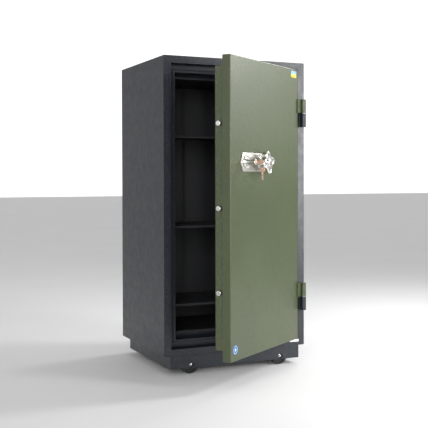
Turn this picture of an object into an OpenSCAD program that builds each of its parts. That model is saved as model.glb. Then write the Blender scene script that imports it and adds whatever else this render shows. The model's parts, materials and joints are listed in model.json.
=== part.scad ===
// Fire resistant document safe on four fixed rollers, door standing open.
// Casing frame: X runs along the front, Y into the casing, Z up from the casing's underside.

/* [Casing] */
// Width of the casing
casing_w = 742; // [680:1:900]
// Depth of the casing from its front plane
casing_d = 612; // [540:1:720]
// Height of the casing above the plinth
casing_h = 1395; // [1300:1:1600]
// Thickness of the casing's sheet steel
shell_t = 2.5; // [2:0.1:3]
// Outer radius of the casing's long folded edges
shell_r = 4; // [3:0.5:6]

/* [Door frame] */
// Width of the front rim at the sides
rim_side = 37; // [34:1:45]
// Height of the front rim at the top
rim_top = 35; // [32:1:45]
// Height of the front rim at the bottom
rim_bottom = 33; // [31:1:45]
// Depth of the recess that takes the door leaf
recess_depth = 49; // [47:1:52]
// Width of the ledge at the sides
ledge_side = 40; // [38:1:46]
// Width of the ledge at the top
ledge_top = 38; // [36:1:46]
// Width of the ledge at the bottom
ledge_bottom = 35; // [34:1:46]
// Depth at which the tunnel behind the ledge ends
tunnel_depth = 117; // [116:1:130]
// Height of the lip at the tunnel's inner end
lip_h = 10; // [6:1:14]
// Thickness of the frame's folded steel
frame_t = 3; // [2:0.5:3.5]
// Distance of the seal groove from the rim
seal_in = 22; // [16:1:24]
// Width of the seal groove
seal_w = 6; // [4:0.5:8]
// Depth of the seal groove
seal_depth = 6; // [4:0.5:7]

/* [Interior] */
// Distance from the casing's outside to the interior's sides and top
liner_in = 94; // [90:1:110]
// Height of the interior's floor above the casing's underside
floor_in = 95; // [90:1:110]
// Distance from the interior's rear wall to the casing's back
liner_back = 80; // [60:1:110]
// Thickness of the liner's sheet
liner_t = 1.5; // [1:0.1:2]
// Heights of the shelves' top faces
shelf_z = [223, 599, 1032];
// Height of a shelf's folded front and rear lips
shelf_lip = 11; // [8:1:20]
// Distance of the shelves' front edges from the front plane
shelf_front = 130; // [126:1:180]
// Width of a slotted shelf standard
standard_w = 16; // [14:1:24]
// Pitch of the slots in a standard
slot_pitch = 36; // [24:1:60]

/* [Base] */
// Height of the plinth
plinth_h = 62; // [55:1:80]
// Inset of the plinth at the sides
plinth_in = 30; // [10:1:50]
// Setback of the plinth at the rear
plinth_back = 27; // [0:1:60]
// Thickness of the plinth's plate
plinth_t = 3; // [2:0.5:3]
// Diameter of a roller
roller_d = 84; // [80:1:84]
// Width of a roller
roller_w = 32; // [24:1:36]
// Depth of the roller axis below the casing
axle_drop = 47; // [46:1:50]
// Distance of the roller axes from the casing's sides
roller_x = 134; // [90:1:200]
// Diameter of a roller axle
axle_d = 16; // [12:1:20]

/* [Door] */
// How far the door stands open, in degrees
door_open = 34.8; // [0:0.1:90]
// Gap between the leaf and the rim
door_gap = 3; // [3:0.5:5]
// Thickness of the door leaf
leaf_t = 42; // [38:1:44]
// Thickness of the leaf's sheet steel
leaf_sheet = 3; // [2:0.5:3.5]
// Depth of the plug behind the leaf
plug_depth = 68; // [66:1:70]
// Step from the leaf's edge to the plug on the lock side
plug_step = 56; // [56:1:60]
// Gap between the plug and the tunnel at the hinge side
plug_side_gap = 5; // [4:1:8]
// Gap between the plug and the tunnel above and below
plug_gap = 3.5; // [3:0.5:6]
// Distance of the hinge axis from the casing's right side
pin_in = 12; // [12:1:16]
// Distance of the hinge axis in front of the casing
pin_out = 18; // [17:1:20]
// Diameter of a hinge knuckle
knuckle_d = 24; // [22:1:24]
// Height of one hinge knuckle
knuckle_h = 68; // [40:1:90]
// Diameter of a hinge pin
hinge_pin_d = 14; // [10:1:16]
// Heights of the joints between the lower and upper knuckles
hinge_z = [243, 1147];

/* [Bolt work] */
// Diameter of a locking bolt
bolt_d = 25; // [20:1:26]
// Depth of the bolt axes behind the door's face
bolt_y = 89; // [88:1:90]
// Heights of the locking bolts
bolt_z = [324, 695, 1067];
// How far a drawn bolt's tip still stands out of the plug
bolt_proud = 12; // [6:1:12]
// Travel of the locking bolts
bolt_throw = 22; // [16:1:24]
// Chamfer round the bolts' flat ends
bolt_chamfer = 3; // [1:0.5:4]
// Width of the bolt bar
bar_w = 30; // [24:1:36]
// Thickness of the bolt bar
bar_t = 8; // [6:1:10]

/* [Handle and lock] */
// Distance from the leaf's lock edge to the plate's pointed end
plate_x = 81; // [60:1:110]
// Length of the escutcheon plate
plate_l = 246; // [220:1:260]
// Height of the escutcheon plate
plate_h = 83; // [70:1:100]
// Thickness of the escutcheon plate
plate_t = 5; // [3:0.5:6]
// Height of the lock and handle axes above the casing's underside
lock_z = 898; // [850:1:950]
// Distance of the lock axis from the plate's pointed end
lock_in = 50; // [44:1:80]
// Distance of the handle axis from the lock axis
handle_gap = 127; // [110:1:140]
// Diameter of the lock cylinder
cylinder_d = 27; // [26:1:34]
// How far the lock cylinder stands out of the door
cylinder_out = 53; // [30:1:56]
// Diameter of the rosettes round the lock and the spindle
rosette_d = 53; // [46:1:60]
// Overall diameter of the four-lobed handle
knob_d = 103; // [80:1:110]
// Thickness of the handle's head
knob_t = 27; // [14:1:30]
// How far the handle's head starts in front of the door
knob_out = 27; // [24:1:40]
// How far the handle's lobes stand from upright, in degrees
knob_turn = 13; // [0:1:45]
// Diameter of the handle's spindle
spindle_d = 16; // [12:1:18]
// Travel of the lock bolt that blocks the bolt bar
lock_throw = 8; // [8:0.5:10]
// Radius of a key's bow
bow_r = 12; // [10:0.5:14]
// Thickness of a key
key_t = 2.6; // [2:0.1:3]

/* [Hidden] */

$fn = 64;
cut = 1;                    // how far a cutting solid runs past the face it cuts
slip = 0.05;                // radial clearance of a running fit
all_round = [1, 1, 1];

// Distances in from the casing's outside: [sides, top, bottom]
rim = [rim_side, rim_top, rim_bottom];
tunnel = rim + [ledge_side, ledge_top, ledge_bottom];
lip = tunnel + lip_h * all_round;
liner = [liner_in, liner_in, floor_in];
frame_back = tunnel_depth + frame_t;
channel_back = recess_depth + seal_depth + 2;
liner_rear = casing_d - liner_back;

// Door, in the closed position
pin_x = casing_w - pin_in;
leaf = rim + door_gap * all_round;
leaf_x = leaf[0];
leaf_right = casing_w - leaf[0];
plug_left = leaf_x + plug_step;
plug_right = casing_w - tunnel[0] - plug_side_gap;
plug_bottom = tunnel[2] + plug_gap;
plug_top = casing_h - tunnel[1] - plug_gap;
plug_back = leaf_t + plug_depth;
cover_t = 2;

// Bolt work, drawn
bolt_r = bolt_d / 2;
bolt_tip = plug_left - bolt_proud;
strike_r = bolt_r + 2;
sleeve_l = 32;
sleeve_wall = 2.5;
dead_tip = casing_w - tunnel[0] + 12;
lock_x = leaf_x + plate_x + lock_in;
knob_x = lock_x + handle_gap;
lug_w = 8;
lock_nose = [lock_x - 4, lock_x + 8];
bar_x = lock_nose[1] + 1;
bar_y = [bolt_y - bar_t / 2, bolt_y + bar_t / 2];
drive_pin_d = 8;
drive_arm = bolt_throw / 2;         // sideways and upward offset of the drive pin, drawn
drive_play = 0.6;
disc_y = [66, 74];

// Lock case and its bolt
case_half = 30;
case_z = [lock_z - 30, lock_z + 36];
case_y = [leaf_t, leaf_t + 32];
case_t = 2.5;
bolt_plate_y = [60.5, 67.5];
cam_arm = lock_throw / 2;
core_d = 16;

// Key, ring and spare key
bow_out = cylinder_out + 24;
key_hole_out = bow_out + 7;
key_hole_r = 3;
ring_r = 12;
ring_wire = 1;
ring_drop = 1.5;

// Rollers
axle_z = -axle_drop;
bracket_y = [4, 9];
roller_y = bracket_y[1] + 1;
inner_ear = roller_y + roller_w + 1;
plinth_d = casing_d - plinth_back;
base_h = axle_drop + roller_d / 2;

// The open leaf's lock edge is the model's front; the casing's back is its rear
open_front = -pin_out - (pin_x - leaf_x) * sin(door_open) + pin_out * cos(door_open);
origin_y = (min(0, open_front) + casing_d) / 2;

graphite = [0.27, 0.29, 0.31];
liner_black = [0.10, 0.10, 0.11];
door_green = [0.42, 0.46, 0.34];
chrome = [0.85, 0.85, 0.84];
steel = [0.62, 0.63, 0.64];
brass = [0.78, 0.56, 0.42];
rubber_black = [0.06, 0.06, 0.06];
filling = [0.70, 0.68, 0.64];

// ---- Shared shapes ----

// A box given by its ranges along X, Y and Z
module block(x, y, z) {
    translate([x[0], y[0], z[0]]) cube([x[1] - x[0], y[1] - y[0], z[1] - z[0]]);
}

// A slab over the casing's outline, less an inset of [sides, top, bottom]
module slab(inset, y) {
    block([inset[0], casing_w - inset[0]], y, [inset[2], casing_h - inset[1]]);
}

// A rectangular ring between two insets
module ring(outer, inner, y) {
    difference() {
        slab(outer, y);
        slab(inner, [y[0] - cut, y[1] + cut]);
    }
}

module rod_x(r, x, y, z) {
    translate([x[0], y, z]) rotate([0, 90, 0]) cylinder(h = x[1] - x[0], r = r);
}

module rod_y(r, x, y, z) {
    translate([x, y[0], z]) rotate([-90, 0, 0]) cylinder(h = y[1] - y[0], r = r);
}

module rod_z(r, x, y, z) {
    translate([x, y, z[0]]) cylinder(h = z[1] - z[0], r = r);
}

// A slot along Z with round ends, cut along Y
module slot_z(r, x, y, z) {
    block([x - r, x + r], y, z);
    for (end = z) rod_y(r, x, y, end);
}

// A slot along X with round ends, cut along Y
module slot_x(r, x, y, z) {
    block(x, y, [z - r, z + r]);
    for (end = x) rod_y(r, end, y, z);
}

// Everything is drawn in the casing's frame and moved once to the part's origin
module placed() {
    translate([-casing_w / 2, -origin_y, base_h]) children();
}

// Door parts are drawn closed and swung open about the hinge axis
module on_door() {
    placed()
        translate([pin_x, -pin_out, 0])
        rotate([0, 0, door_open])
        translate([-pin_x, pin_out, 0])
        children();
}

// ---- Casing ----

module outer_shell() {
    inner_w = casing_w - 2 * shell_t;
    color(graphite) placed()
        difference() {
            union() {
                block([shell_r, casing_w - shell_r], [0, casing_d], [0, casing_h]);
                block([0, casing_w], [0, casing_d], [shell_r, casing_h - shell_r]);
                for (x = [shell_r, casing_w - shell_r], z = [shell_r, casing_h - shell_r])
                    rod_y(shell_r, x, [0, casing_d], z);
            }
            block([shell_t, shell_t + inner_w], [-cut, casing_d + cut], [shell_t, casing_h - shell_t]);
        }
}

module back_panel() {
    color(graphite) placed() slab(shell_t * all_round, [casing_d - shell_t, casing_d]);
}

// Holes in the jambs: round ones for the bolts, slots for the fixed bars on the hinge side
module jamb_cuts(bolt_hole_r, depth) {
    for (z = bolt_z) {
        rod_x(bolt_hole_r, [tunnel[0] - depth, tunnel[0] + cut], bolt_y, z);
        block([casing_w - tunnel[0] - cut, casing_w - tunnel[0] + 20], [66, 105], [z - 15, z + 15]);
    }
}

module front_frame() {
    edge = frame_t * all_round;
    color(graphite) placed()
        difference() {
            union() {
                ring(shell_t * all_round, rim, [0, frame_t]);
                ring(rim - edge, rim, [0, recess_depth + frame_t]);
                ring(rim - edge, tunnel, [recess_depth, recess_depth + frame_t]);
                ring(rim + (seal_in - 2) * all_round, rim + (seal_in + seal_w + 2) * all_round,
                    [recess_depth, channel_back]);
                ring(tunnel - edge, tunnel, [recess_depth, frame_back]);
                ring(tunnel - edge, lip, [tunnel_depth, frame_back]);
            }
            ring(rim + seal_in * all_round, rim + (seal_in + seal_w) * all_round,
                [recess_depth - cut, recess_depth + seal_depth]);
            jamb_cuts(strike_r, frame_t + cut);
        }
}

module frame_seal() {
    color(liner_black) placed()
        ring(rim + seal_in * all_round, rim + (seal_in + seal_w) * all_round,
            [recess_depth + 1, recess_depth + seal_depth]);
}

module inner_liner() {
    sheet = liner_t * all_round;
    color(liner_black) placed() {
        difference() {
            slab(liner - sheet, [frame_back, liner_rear + liner_t]);
            slab(liner, [frame_back - cut, liner_rear]);
        }
        ring(tunnel - all_round, liner - sheet, [frame_back, frame_back + liner_t]);
    }
}

module body_insulation() {
    front = channel_back + 4;
    color(filling) placed()
        difference() {
            slab(shell_t * all_round, [front, casing_d - shell_t]);
            slab(tunnel - frame_t * all_round, [front - cut, frame_back + liner_t]);
            slab(liner - liner_t * all_round, [front - cut, liner_rear + liner_t]);
            jamb_cuts(strike_r + sleeve_wall, frame_t + sleeve_l);
        }
}

module strike_sleeves() {
    wall = tunnel[0] - frame_t;
    color(steel) placed()
        for (z = bolt_z)
            difference() {
                rod_x(strike_r + sleeve_wall, [wall - sleeve_l, wall], bolt_y, z);
                rod_x(strike_r, [wall - sleeve_l - cut, wall + cut], bolt_y, z);
            }
}

// ---- Shelves ----

standard_y = [shelf_front + 24, liner_rear - 60];
standard_t = 3;

module shelf_standards() {
    bottom = floor_in + 10;
    top = casing_h - liner_in - 10;
    color(liner_black) placed()
        for (side = [0, 1], y = standard_y)
            translate([side * casing_w, 0, 0]) mirror([side, 0, 0])
                difference() {
                    block([liner_in, liner_in + standard_t], [y, y + standard_w], [bottom, top]);
                    for (z = [bottom + slot_pitch : slot_pitch : top - slot_pitch / 2])
                        block([liner_in - cut, liner_in + standard_t + cut],
                            [y + standard_w / 2 - 2.5, y + standard_w / 2 + 2.5], [z - 7, z + 7]);
                }
}

module shelf_clips() {
    foot = liner_in + standard_t;
    color(steel) placed()
        for (side = [0, 1], y = standard_y, z = shelf_z)
            translate([side * casing_w, 0, 0]) mirror([side, 0, 0]) {
                block([foot, foot + 2], [y + 1, y + standard_w - 1], [z - shelf_t - 16, z - shelf_t]);
                block([foot, foot + 12], [y + 1, y + standard_w - 1], [z - shelf_t - 2, z - shelf_t]);
            }
}

shelf_t = 1.5;
shelf_side = liner_in + standard_t + 1;

module shelf(z) {
    rear = liner_rear - 15;
    x = [shelf_side, casing_w - shelf_side];
    color(liner_black) placed() {
        block(x, [shelf_front, rear], [z - shelf_t, z]);
        block(x, [shelf_front, shelf_front + shelf_t], [z - shelf_lip, z]);
        block(x, [rear - shelf_t, rear], [z - shelf_lip, z]);
    }
}

module shelf_lower() shelf(shelf_z[0]);
module shelf_middle() shelf(shelf_z[1]);
module shelf_upper() shelf(shelf_z[2]);

// ---- Base ----

// Puts a front left roller part at one of the four corners
module corner(right, rear) {
    translate([right * casing_w, rear * plinth_d, 0]) mirror([right, 0, 0]) mirror([0, rear, 0]) children();
}

module at_corners() {
    for (right = [0, 1], rear = [0, 1]) corner(right, rear) children();
}

module plinth() {
    x = [plinth_in, casing_w - plinth_in];
    color(graphite) placed()
        difference() {
            block(x, [0, plinth_d], [-plinth_h, 0]);
            block([x[0] + plinth_t, x[1] - plinth_t], [plinth_t, plinth_d - plinth_t], [-plinth_h - cut, cut]);
            at_corners() rod_y(14, roller_x, [-cut, plinth_t + cut], axle_z);
        }
}

module roller_brackets() {
    ear = 24;
    color(graphite) placed() at_corners()
        difference() {
            union() {
                block([roller_x - 40, roller_x + 40], [plinth_t, inner_ear + 5], [-3, 0]);
                block([roller_x - ear, roller_x + ear], bracket_y, [4 - plinth_h, 0]);
                block([roller_x - ear, roller_x + ear], [inner_ear, inner_ear + 5], [4 - plinth_h, 0]);
            }
            rod_y(axle_d / 2, roller_x, [0, inner_ear + 6], axle_z);
        }
}

module roller_axles() {
    color(chrome) placed() at_corners() {
        rod_y(axle_d / 2, roller_x, [bracket_y[0], inner_ear + 13], axle_z);
        rod_y(11, roller_x, [1, bracket_y[0]], axle_z);
    }
}

module axle_nuts() {
    color(steel) placed() at_corners()
        difference() {
            translate([roller_x, inner_ear + 5, axle_z]) rotate([-90, 0, 0]) cylinder(h = 8, r = 14, $fn = 6);
            rod_y(axle_d / 2, roller_x, [inner_ear, inner_ear + 20], axle_z);
        }
}

// A black roller with chamfered rims and a recessed web on each face
module roller(right, rear) {
    r = roller_d / 2;
    rim_w = 9;
    color(rubber_black) placed() corner(right, rear)
        translate([roller_x, roller_y, axle_z]) rotate([-90, 0, 0])
        difference() {
            union() {
                cylinder(h = 2, r1 = r - 2, r2 = r);
                translate([0, 0, 2]) cylinder(h = roller_w - 4, r = r);
                translate([0, 0, roller_w - 2]) cylinder(h = 2, r1 = r, r2 = r - 2);
            }
            for (z = [-cut, roller_w - 5])
                translate([0, 0, z])
                    difference() {
                        cylinder(h = 5 + cut, r = r - rim_w);
                        translate([0, 0, -cut]) cylinder(h = 9, r = 15);
                    }
            translate([0, 0, -cut]) cylinder(h = roller_w + 2 * cut, r = axle_d / 2 + slip);
        }
}

module roller_front_left() roller(0, 0);
module roller_front_right() roller(1, 0);
module roller_rear_left() roller(0, 1);
module roller_rear_right() roller(1, 1);

// ---- Hinges ----

module body_knuckles() {
    color(graphite) placed()
        for (split = hinge_z)
            difference() {
                union() {
                    rod_z(knuckle_d / 2, pin_x, -pin_out, [split - knuckle_h, split - 1]);
                    block([pin_x - 8, pin_x + 8], [-pin_out, 0], [split - knuckle_h, split - 1]);
                    block([pin_x - 17, pin_x + 12], [-6, 0], [split - knuckle_h, split - 1]);
                }
                rod_z(hinge_pin_d / 2, pin_x, -pin_out, [split - knuckle_h + 8, split]);
            }
}

module hinge_pins() {
    color(steel) placed()
        for (split = hinge_z)
            rod_z(hinge_pin_d / 2, pin_x, -pin_out, [split - knuckle_h + 8, split + knuckle_h - 8]);
}

module hinge_washers() {
    color(steel) placed()
        for (split = hinge_z)
            difference() {
                rod_z(knuckle_d / 2 - 1, pin_x, -pin_out, [split - 1, split + 0.9]);
                rod_z(hinge_pin_d / 2, pin_x, -pin_out, [split - 2, split + 2]);
            }
}

module door_knuckles() {
    color(door_green) on_door()
        for (split = hinge_z) {
            height = [split + 1, split + knuckle_h];
            difference() {
                union() {
                    rod_z(knuckle_d / 2, pin_x, -pin_out, height);
                    block([leaf_right, pin_x], [-9, -1.5], height);
                    block([leaf_right - 12, leaf_right], [-9, 0], height);
                }
                rod_z(hinge_pin_d / 2 + slip, pin_x, -pin_out, [split, split + knuckle_h - 7.5]);
            }
        }
}

module body_badge() {
    color(chrome) placed() block([casing_w - 80, casing_w - 30], [-1.2, 0], [17, 30]);
}

// ---- Door ----

// Shafts that pass through the leaf: the handle's bush and the lock cylinder
bush_r = 12;

module shaft_holes() {
    rod_y(bush_r, knob_x, [-20, leaf_t + cut], lock_z);
    rod_y(cylinder_d / 2, lock_x, [-20, leaf_t + cut], lock_z);
}

module door_leaf() {
    inner = leaf + leaf_sheet * all_round;
    color(door_green) on_door()
        difference() {
            slab(leaf, [0, leaf_t]);
            slab(inner, [leaf_sheet, leaf_t - leaf_sheet]);
            shaft_holes();
        }
}

module door_insulation() {
    inner = leaf + leaf_sheet * all_round;
    color(filling) on_door()
        difference() {
            slab(inner, [leaf_sheet, leaf_t - leaf_sheet]);
            shaft_holes();
        }
}

module door_plug() {
    flange = 26;
    sheet = leaf_sheet;
    back = plug_back - cover_t;
    color(door_green) on_door()
        difference() {
            block([plug_left, plug_right], [leaf_t, back], [plug_bottom, plug_top]);
            block([plug_left + sheet, plug_right - sheet], [leaf_t - cut, back - sheet],
                [plug_bottom + sheet, plug_top - sheet]);
            block([plug_left + flange, plug_right - flange], [leaf_t, back + cut],
                [plug_bottom + flange, plug_top - flange]);
            for (z = bolt_z) {
                rod_x(strike_r, [plug_left - cut, plug_left + sheet + cut], bolt_y, z);
                rod_x(bolt_r, [plug_right - sheet - cut, plug_right + cut], bolt_y, z);
            }
            cover_holes(2);
        }
}

// Screw positions along both long edges of the plug's cover
module cover_holes(r) {
    for (x = [plug_left + 13, plug_right - 13], z = [0 : 3])
        rod_y(r, x, [plug_back - 8, plug_back + cut],
            plug_bottom + 60 + z * (plug_top - plug_bottom - 120) / 3);
}

module plug_cover() {
    color(door_green) on_door()
        difference() {
            block([plug_left, plug_right], [plug_back - cover_t, plug_back], [plug_bottom, plug_top]);
            cover_holes(2);
        }
}

module cover_screws() {
    color(steel) on_door()
        for (x = [plug_left + 13, plug_right - 13], i = [0 : 3]) {
            z = plug_bottom + 60 + i * (plug_top - plug_bottom - 120) / 3;
            rod_y(2, x, [plug_back - 8, plug_back], z);
            rod_y(4, x, [plug_back, plug_back + 1.8], z);
        }
}

// Fixed bars that hold the hinge side of the door, each on a standoff
module dead_bars() {
    color(chrome) on_door()
        for (z = bolt_z) {
            rod_x(bolt_r, [plug_right - 34, dead_tip], bolt_y, z);
            block([plug_right - 34, plug_right - 10], [leaf_t, bolt_y], [z - 10, z + 10]);
        }
}

module bolt_guides() {
    color(steel) on_door()
        for (z = bolt_z)
            difference() {
                block([plug_left + 8, plug_left + 42], [leaf_t, plug_back - cover_t - leaf_sheet], [z - 20, z + 20]);
                rod_x(bolt_r + slip, [plug_left, plug_left + 50], bolt_y, z);
            }
}

module door_label() {
    color([0.85, 0.80, 0.30]) on_door()
        block([leaf_right - 77, leaf_right - 20], [-0.8, 0], [casing_h - leaf[1] - 41, casing_h - leaf[1] - 10]);
}

module round_label() {
    color([0.25, 0.42, 0.66]) on_door() rod_y(20, leaf_x + 39, [-0.8, 0], leaf[2] + 50);
}

// ---- Escutcheon, lock and handle ----

plate_half = plate_h / 2;
point_l = 24;

module escutcheon_plate() {
    x0 = leaf_x + plate_x;
    x1 = x0 + plate_l;
    outline = [
        [x0, 0], [x0 + point_l, plate_half], [x1 - point_l, plate_half],
        [x1, 0], [x1 - point_l, -plate_half], [x0 + point_l, -plate_half]
    ];
    color(chrome) on_door()
        difference() {
            translate([0, 0, lock_z]) rotate([90, 0, 0]) linear_extrude(plate_t) polygon(outline);
            shaft_holes();
        }
}

module lock_rosette() {
    color(chrome) on_door()
        difference() {
            union() {
                rod_y(rosette_d / 2, lock_x, [-plate_t - 4, -plate_t], lock_z);
                rod_y(rosette_d / 2 - 5, lock_x, [-plate_t - 7, -plate_t - 4], lock_z);
            }
            shaft_holes();
        }
}

module handle_collar() {
    color(chrome) on_door()
        difference() {
            union() {
                rod_y(rosette_d / 2, knob_x, [-plate_t - 6, -plate_t], lock_z);
                rod_y(rosette_d / 2 - 6, knob_x, [-plate_t - 10, -plate_t - 6], lock_z);
                rod_y(bush_r, knob_x, [-plate_t - 1, leaf_t + 6], lock_z);
            }
            rod_y(spindle_d / 2 + slip, knob_x, [-plate_t - 20, leaf_t + 7], lock_z);
        }
}

module lock_cylinder() {
    color(chrome) on_door()
        difference() {
            rod_y(cylinder_d / 2, lock_x, [-cylinder_out, leaf_t + 8], lock_z);
            rod_y(core_d / 2 + slip, lock_x, [-cylinder_out - cut, leaf_t + 9], lock_z);
        }
}

module lock_case() {
    x = [lock_x - case_half, lock_x + case_half];
    color(steel) on_door()
        difference() {
            block(x, case_y, case_z);
            block([x[0] + case_t, x[1] - case_t], [case_y[0] + case_t, case_y[1] - case_t],
                [case_z[0] + case_t, case_z[1] - case_t]);
            rod_y(cylinder_d / 2, lock_x, [case_y[0] - cut, case_y[0] + 8], lock_z);
            block([lock_nose[0] - 0.2, lock_nose[1] + 0.2], [bolt_plate_y[0] - 0.2, bolt_plate_y[1] + 0.2],
                [case_z[1] - case_t - cut, case_z[1] + cut]);
        }
}

// Slides up beside the bar's lug once the bolts are thrown
module lock_bolt() {
    tail = [lock_x - 16, lock_x + 8];
    color(brass) on_door()
        difference() {
            union() {
                block(tail, bolt_plate_y, [lock_z - 16, lock_z + 10]);
                block(lock_nose, bolt_plate_y, [lock_z - 16, case_z[1] + 1]);
            }
            slot_x(2.3, [lock_x - cam_arm - 2.6, lock_x - cam_arm + 0.6], [50, 80], lock_z - cam_arm);
        }
}

module cylinder_core() {
    color(brass) on_door()
        difference() {
            union() {
                rod_y(core_d / 2, lock_x, [0.5 - cylinder_out, 56], lock_z);
                rod_y(10, lock_x, [56, 60], lock_z);
                rod_y(2, lock_x - cam_arm, [60, 67], lock_z - cam_arm);
            }
            key_blade();
        }
}

module handle_spindle() {
    color(steel) on_door() rod_y(spindle_d / 2, knob_x, [-knob_out - 8, disc_y[1]], lock_z);
}

// Four round lobes round a hub, with a raised boss and a narrower neck
module handle_knob() {
    lobe_r = 18;
    hub_r = 33;
    boss_r = 18;
    boss_h = 5;
    neck_r = 16;
    lobe_at = knob_d / 2 - lobe_r;
    head = [-knob_out - knob_t, -knob_out];
    color(chrome) on_door()
        translate([knob_x, 0, lock_z]) rotate([0, -knob_turn, 0])
        difference() {
            union() {
                rod_y(hub_r, 0, head, 0);
                for (turn = [0 : 3])
                    rotate([0, 90 * turn, 0]) rod_y(lobe_r, 0, head, lobe_at);
                rod_y(boss_r, 0, [head[0] - boss_h, head[0]], 0);
                rod_y(neck_r, 0, [-knob_out, -plate_t - 10.5], 0);
            }
            rod_y(spindle_d / 2, 0, [-knob_out - 8, 0], 0);
        }
}

module drive_disc() {
    color(steel) on_door()
        difference() {
            union() {
                rod_y(26, knob_x, disc_y, lock_z);
                rod_y(drive_pin_d / 2, knob_x + drive_arm, [disc_y[1], bar_y[1] + 2], lock_z + drive_arm);
            }
            rod_y(spindle_d / 2, knob_x, [0, disc_y[1] + cut], lock_z);
        }
}

module bolt_bar() {
    slot_r = drive_pin_d / 2 + drive_play;
    color(steel) on_door()
        difference() {
            union() {
                block([bar_x, bar_x + bar_w], bar_y, [bolt_z[0] - 30, bolt_z[2] + 30]);
                block([bar_x + bar_w, knob_x + 34], bar_y, [lock_z - 16, lock_z + 36]);
                block([bar_x, bar_x + lug_w], [58, bar_y[1]], [case_z[1] + 6, case_z[1] + 28]);
            }
            slot_z(slot_r, knob_x + drive_arm, [bar_y[0] - cut, bar_y[1] + cut],
                [lock_z + drive_arm - 1, lock_z + drive_arm * sqrt(2) + 1]);
        }
}

module locking_bolts() {
    color(chrome) on_door()
        for (z = bolt_z) {
            rod_x(bolt_r, [bolt_tip + bolt_chamfer, bar_x], bolt_y, z);
            translate([bolt_tip, bolt_y, z]) rotate([0, 90, 0])
                cylinder(h = bolt_chamfer, r1 = bolt_r - bolt_chamfer, r2 = bolt_r);
        }
}

// ---- Keys ----

module key_blade() {
    block([lock_x - key_t / 2, lock_x + key_t / 2], [-bow_out, -8], [lock_z - 4, lock_z + 4]);
}

module key() {
    half = key_t / 2;
    color(brass) on_door()
        difference() {
            union() {
                key_blade();
                rod_x(bow_r, [lock_x - half, lock_x + half], -bow_out, lock_z);
            }
            rod_x(key_hole_r, [lock_x - half - cut, lock_x + half + cut], -key_hole_out, lock_z);
        }
}

module key_ring() {
    color(steel) on_door()
        translate([lock_x, -key_hole_out, lock_z - ring_drop - ring_r]) rotate([90, 0, 0])
        rotate_extrude() translate([ring_r, 0]) circle(r = ring_wire, $fn = 24);
}

module spare_key() {
    half = key_t / 2;
    hole_z = lock_z - 2 * ring_drop - 2 * ring_r;
    bow_z = hole_z - 7;
    color(brass) on_door()
        difference() {
            union() {
                rod_x(bow_r, [lock_x - half, lock_x + half], -key_hole_out, bow_z);
                block([lock_x - half, lock_x + half], [-key_hole_out - 4, 4 - key_hole_out], [bow_z - 45, bow_z]);
            }
            rod_x(key_hole_r, [lock_x - half - cut, lock_x + half + cut], -key_hole_out, hole_z);
        }
}

// ---- Nodes ----

outer_shell();
back_panel();
front_frame();
frame_seal();
inner_liner();
body_insulation();
strike_sleeves();
shelf_standards();
shelf_clips();
shelf_lower();
shelf_middle();
shelf_upper();
plinth();
roller_brackets();
roller_axles();
axle_nuts();
body_knuckles();
hinge_pins();
hinge_washers();
body_badge();
roller_front_left();
roller_front_right();
roller_rear_left();
roller_rear_right();
door_leaf();
door_insulation();
door_plug();
plug_cover();
cover_screws();
door_knuckles();
dead_bars();
bolt_guides();
escutcheon_plate();
lock_rosette();
handle_collar();
lock_cylinder();
lock_case();
door_label();
round_label();
handle_knob();
handle_spindle();
drive_disc();
bolt_bar();
locking_bolts();
lock_bolt();
cylinder_core();
key();
key_ring();
spare_key();
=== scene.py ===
import json
from math import atan2, cos, degrees, exp, log, pi, radians, sin, sqrt

import bmesh
import bpy
from mathutils import Matrix, Vector


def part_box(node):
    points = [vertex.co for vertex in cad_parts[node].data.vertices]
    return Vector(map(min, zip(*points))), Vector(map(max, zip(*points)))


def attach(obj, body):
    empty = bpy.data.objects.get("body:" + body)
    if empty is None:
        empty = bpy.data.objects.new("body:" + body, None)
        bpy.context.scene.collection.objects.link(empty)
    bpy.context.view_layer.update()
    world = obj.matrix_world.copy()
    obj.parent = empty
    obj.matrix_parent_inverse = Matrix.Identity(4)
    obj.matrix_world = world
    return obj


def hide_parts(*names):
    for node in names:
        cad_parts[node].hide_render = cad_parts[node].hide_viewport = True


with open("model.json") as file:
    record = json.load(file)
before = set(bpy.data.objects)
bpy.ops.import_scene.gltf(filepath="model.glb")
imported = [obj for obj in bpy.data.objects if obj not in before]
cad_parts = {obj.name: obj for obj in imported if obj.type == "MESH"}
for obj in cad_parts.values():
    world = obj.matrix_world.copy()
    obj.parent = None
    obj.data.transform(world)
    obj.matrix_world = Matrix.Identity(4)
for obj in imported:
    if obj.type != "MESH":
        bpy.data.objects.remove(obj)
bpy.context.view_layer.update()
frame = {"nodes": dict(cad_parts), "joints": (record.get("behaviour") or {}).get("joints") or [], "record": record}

MM = 0.001
EAST = Vector((1, 0, 0))
NORTH = Vector((0, 1, 0))
UP = Vector((0, 0, 1))
JOINTS = {joint["name"]: joint for joint in frame["joints"]}

# The door is drawn closed, where its sides run along the axes, and swung open like the CAD door.
PIN = Vector(JOINTS["door_hinge"]["pos_m"])
OPEN = -radians(JOINTS["door_hinge"]["range_deg"][0])
SWING = Matrix.Translation(PIN) @ Matrix.Rotation(OPEN, 4, "Z") @ Matrix.Translation(-PIN)
CLOSE = SWING.inverted()


# ---- Places, all read from the frame ----

def closed_box(node):
    """A door node's lowest and highest corners with the door closed."""
    points = [CLOSE @ v.co for v in frame["nodes"][node].data.vertices]
    low = Vector([min(p[axis] for p in points) for axis in range(3)])
    high = Vector([max(p[axis] for p in points) for axis in range(3)])
    return low, high


def centre_of(box):
    return (box[0] + box[1]) / 2


# ---- Mesh building ----

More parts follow.
